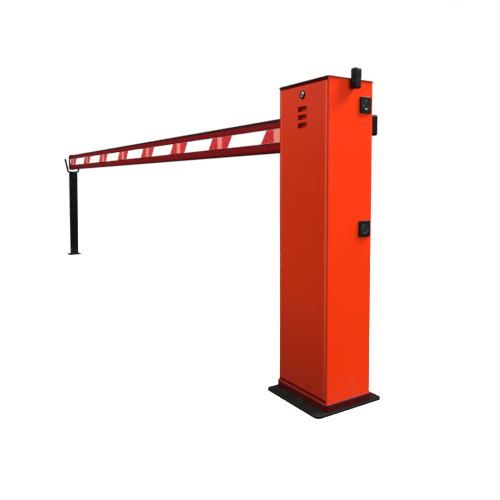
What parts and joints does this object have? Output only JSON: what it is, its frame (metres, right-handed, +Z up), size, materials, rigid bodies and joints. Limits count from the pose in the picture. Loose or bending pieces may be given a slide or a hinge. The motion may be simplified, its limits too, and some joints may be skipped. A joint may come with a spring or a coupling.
{
  "type": "parking barrier gate",
  "caption": "Road barrier: slim steel drive cabinet with a tilting door, a long striped boom on a crank drive, and a separate forked post that the boom comes down to.",
  "frame": {"origin": "centre of the ground anchor pattern, on the underside of the cabinet's foundation plate", "axes": "+Z up; -Y out of the door; the boom hangs on the +Y side and reaches towards -X"},
  "size_m": [4.279, 0.3689, 1.111],
  "materials": {
    "orange_paint": "satin",
    "trim_paint": "satin",
    "door_paint": "satin",
    "black_coat": "matt powder coat",
    "plate_coat": "rough powder coat",
    "zinc_steel": "zinc plated",
    "ground_steel": "ground",
    "plate_steel": "hot rolled, phosphated",
    "lever_steel": "phosphated",
    "bearing_iron": "machined casting",
    "gear_aluminium": "sand cast",
    "motor_paint": "enamel",
    "spring_steel": "oil hardened",
    "release_paint": "gloss",
    "bush_bronze": "turned",
    "core_steel": "lacquered",
    "black_plastic": "moulded",
    "switch_plastic": "moulded",
    "ring_plastic": "moulded",
    "lens_plastic": "dark filter",
    "box_plastic": "moulded",
    "seal_rubber": "extruded",
    "rail_rubber": "extruded",
    "boom_white": "white powder coat",
    "band_film": "reflective film",
    "lock_nickel": "nickel plated"
  },
  "bodies": {
    "cabinet": {"foundation_plate": "plate_coat", "plate_studs": "zinc_steel", "stud_nuts": "zinc_steel", "plinth": "trim_paint", "cabinet_shell": "orange_paint", "lid": "trim_paint", "lid_screws": "zinc_steel", "door_seal": "seal_rubber", "door_pivots": "zinc_steel", "upper_photocell_housing": "black_plastic", "lower_photocell_housing": "black_plastic", "photocell_rings": "ring_plastic", "photocell_lenses": "lens_plastic", "antenna_base": "black_plastic", "antenna_cap": "black_plastic", "drive_plate": "plate_steel", "frame_spacers": "ground_steel", "frame_bolts": "zinc_steel", "rear_bearing_housing": "bearing_iron", "front_bearing_housing": "bearing_iron", "bearing_bolts": "zinc_steel", "shaft_bearings": "ground_steel", "shaft_seal": "seal_rubber", "gearbox_housing": "gear_aluminium", "gearbox_cover": "gear_aluminium", "motor": "motor_paint", "limit_switches": "switch_plastic", "stop_pins": "zinc_steel", "stop_rollers": "seal_rubber", "spring_anchor": "lever_steel", "balance_spring": "spring_steel", "control_box_base": "box_plastic", "control_box_lid": "box_plastic", "transformer": "core_steel", "post_tube": "black_coat", "post_foot": "black_coat", "fork": "black_coat"},
    "boom": {"main_shaft": "ground_steel", "rocker": "lever_steel", "rocker_pins": "zinc_steel", "limit_cams": "ground_steel", "arm_holder": "black_coat", "clamp_plate": "black_coat", "holder_bolts": "zinc_steel", "arm_profile": "boom_white", "upper_rail": "rail_rubber", "lower_rail": "rail_rubber", "reflective_bands": "band_film", "end_cap": "black_plastic"},
    "crank": {"output_shaft": "ground_steel", "crank": "lever_steel"},
    "rod": {"connecting_rod": "lever_steel", "rod_bushes": "bush_bronze"},
    "spring_link": {"spring_link": "lever_steel"},
    "door": {"door_panel": "door_paint", "lock_housing": "black_plastic", "lock_nut": "zinc_steel"},
    "lock": {"lock_barrel": "lock_nickel", "lock_cam": "zinc_steel"},
    "release": {"release_lever": "release_paint"}
  },
  "joints": [
    {"name": "boom_lift", "type": "hinge", "parent": "cabinet", "child": "boom", "pos_m": [0, 0.14, 0.945], "axis": [0, 1, 0], "range_deg": [0, 90], "deforming": ["balance_spring"]},
    {"name": "crank_turn", "type": "hinge", "parent": "cabinet", "child": "crank", "pos_m": [0, 0.05, 0.69], "axis": [0, 1, 0], "range_deg": [0, 90]},
    {"name": "rod_swing", "type": "hinge", "parent": "boom", "child": "rod", "pos_m": [-0.04243, 0.034, 0.90257], "axis": [0, 1, 0], "range_deg": [-90, 0]},
    {"name": "link_swing", "type": "hinge", "parent": "boom", "child": "spring_link", "pos_m": [0.0495, 0.034, 0.9945], "axis": [0, 1, 0], "range_deg": [-90, 0]},
    {"name": "door_tilt", "type": "hinge", "parent": "cabinet", "child": "door", "pos_m": [0, -0.0895, 0.0475], "axis": [1, 0, 0], "range_deg": [0, 30]},
    {"name": "lock_turn", "type": "hinge", "parent": "door", "child": "lock", "pos_m": [0, -0.0975, 1.0375], "axis": [0, 1, 0], "range_deg": [0, 90]},
    {"name": "release_turn", "type": "hinge", "parent": "cabinet", "child": "release", "pos_m": [0.036, -0.065, 0.716], "axis": [0, -1, 0], "range_deg": [0, 90]}
  ],
  "couplings": [
    {"joint": "crank_turn", "follows": "boom_lift", "ratio": 1},
    {"joint": "rod_swing", "follows": "boom_lift", "ratio": -1},
    {"joint": "link_swing", "follows": "boom_lift", "ratio": -1}
  ]
}
